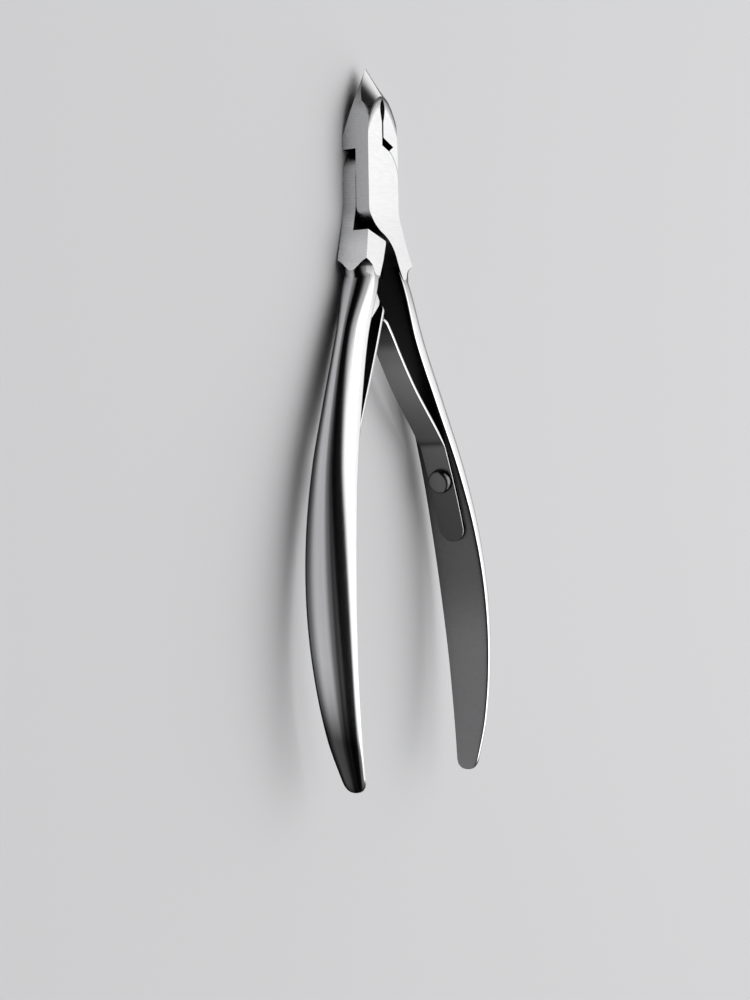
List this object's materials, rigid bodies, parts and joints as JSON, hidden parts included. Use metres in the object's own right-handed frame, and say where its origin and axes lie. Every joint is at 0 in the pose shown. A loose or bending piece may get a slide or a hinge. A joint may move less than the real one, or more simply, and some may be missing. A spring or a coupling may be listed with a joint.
{
  "type": "cuticle nipper",
  "caption": "Slim stainless steel cuticle nipper with a lap joint, pointed jaws, long curved handles and two riveted leaf springs.",
  "frame": {"origin": "under the middle of the tool's length and width, on the plane of the head's flat back", "axes": "+Y along the tool towards the jaw tips, +Z out of the front of the head, +X to the right seen from the front"},
  "size_m": [0.0458, 0.1099, 0.0109],
  "materials": {
    "polished_steel": "mirror polished handles, finely ground head",
    "satin_steel": "satin spring strip with bright edges",
    "rivet_steel": "smooth dark steel"
  },
  "bodies": {
    "back_lever": {"back_lever": "polished_steel", "pivot_rivet": "rivet_steel", "left_spring_foot": "satin_steel", "left_spring_rivet": "rivet_steel"},
    "front_lever": {"front_lever": "polished_steel", "right_spring_foot": "satin_steel", "right_spring_rivet": "rivet_steel"},
    "left_leaf": {"left_spring_leaf": "satin_steel"},
    "right_leaf": {"right_spring_leaf": "satin_steel"}
  },
  "joints": [
    {"name": "jaw_open", "type": "hinge", "parent": "back_lever", "child": "front_lever", "pos_m": [0, 0.038, 0.0023], "axis": [0, 0, 1], "range_deg": [0, 12], "stiffness_Nm_per_rad": 0.02, "springref_deg": 11.46},
    {"name": "right_leaf_bend", "type": "hinge", "parent": "front_lever", "child": "right_leaf", "pos_m": [0.0131, -0.0026, 0.005], "axis": [0, 0, 1], "range_deg": [0, 7.3]},
    {"name": "left_leaf_bend", "type": "hinge", "parent": "back_lever", "child": "left_leaf", "pos_m": [-0.0131, -0.0026, 0.005], "axis": [0, 0, 1], "range_deg": [-9.1, 0]}
  ],
  "couplings": [
    {"joint": "right_leaf_bend", "follows": "jaw_open", "ratio": 0.6},
    {"joint": "left_leaf_bend", "follows": "jaw_open", "ratio": -0.75}
  ]
}
